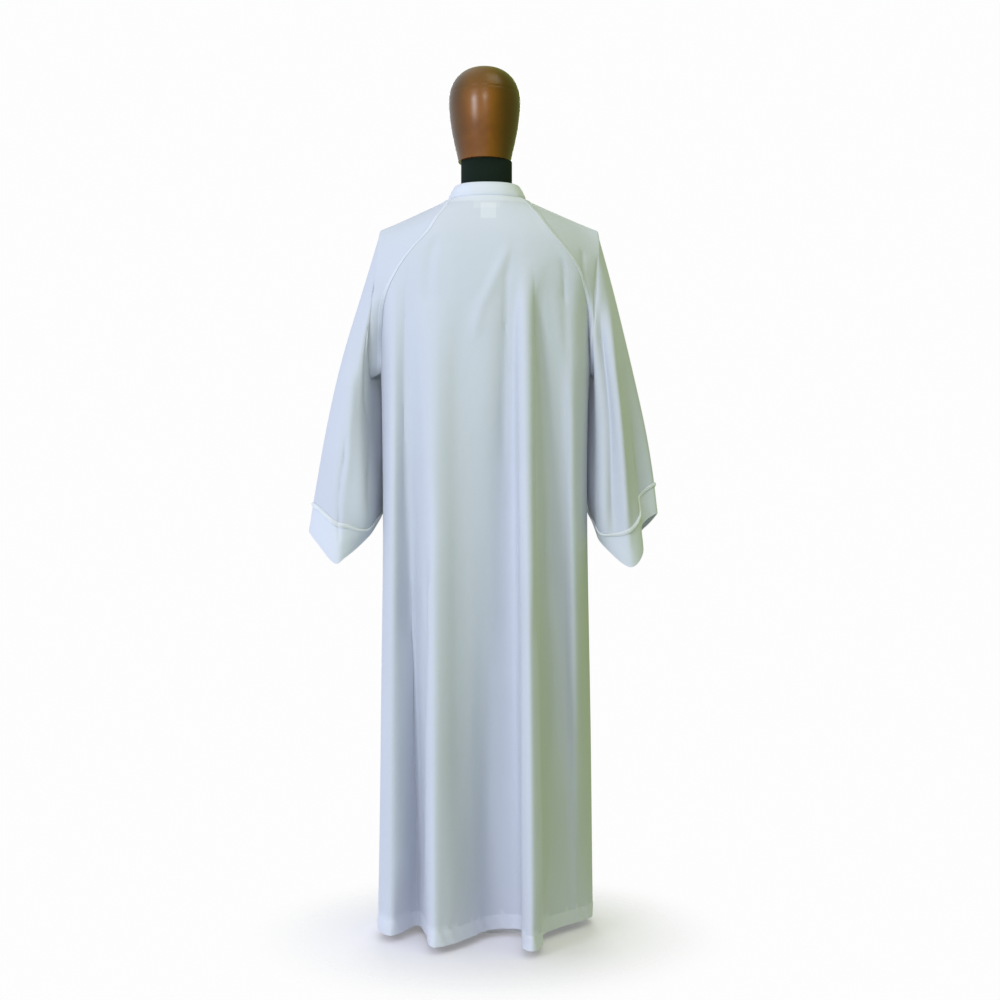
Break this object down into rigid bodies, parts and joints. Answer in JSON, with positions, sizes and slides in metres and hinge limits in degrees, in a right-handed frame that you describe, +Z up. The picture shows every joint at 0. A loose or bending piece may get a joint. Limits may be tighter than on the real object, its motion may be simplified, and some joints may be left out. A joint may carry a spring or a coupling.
{
  "type": "alb robe on dress form",
  "caption": "Full-length white raglan-sleeved alb with standing collar and banded cuffs, hanging in folds on a limbless dress form with head and floor stand.",
  "frame": {"origin": "on the floor under the stand's pole, at the underside of the foot's crossbar", "axes": "+Z up; the robe's back faces -Y, the wearer's front faces +Y, +X is the wearer's right"},
  "size_m": [0.7277, 0.411, 1.7943],
  "materials": {
    "cloth": "fine plain-woven polyester crepe, soft sheen",
    "band_cloth": "the same cloth, doubled",
    "braid": "narrow woven braid",
    "label": "blank woven satin",
    "head": "polished brown with fine grain",
    "form_fabric": "dark stretch jersey",
    "stand": "satin white paint"
  },
  "bodies": {
    "root": {"back_panel": "cloth", "front_left": "cloth", "front_right": "cloth", "sleeve_left": "cloth", "sleeve_right": "cloth", "collar": "band_cloth", "cuff_left": "band_cloth", "cuff_right": "band_cloth", "braid_left": "braid", "braid_right": "braid", "neck_label": "label", "care_tag": "label", "head": "head", "neck": "form_fabric", "torso": "form_fabric", "pole": "stand", "foot": "stand"}
  },
  "joints": []
}
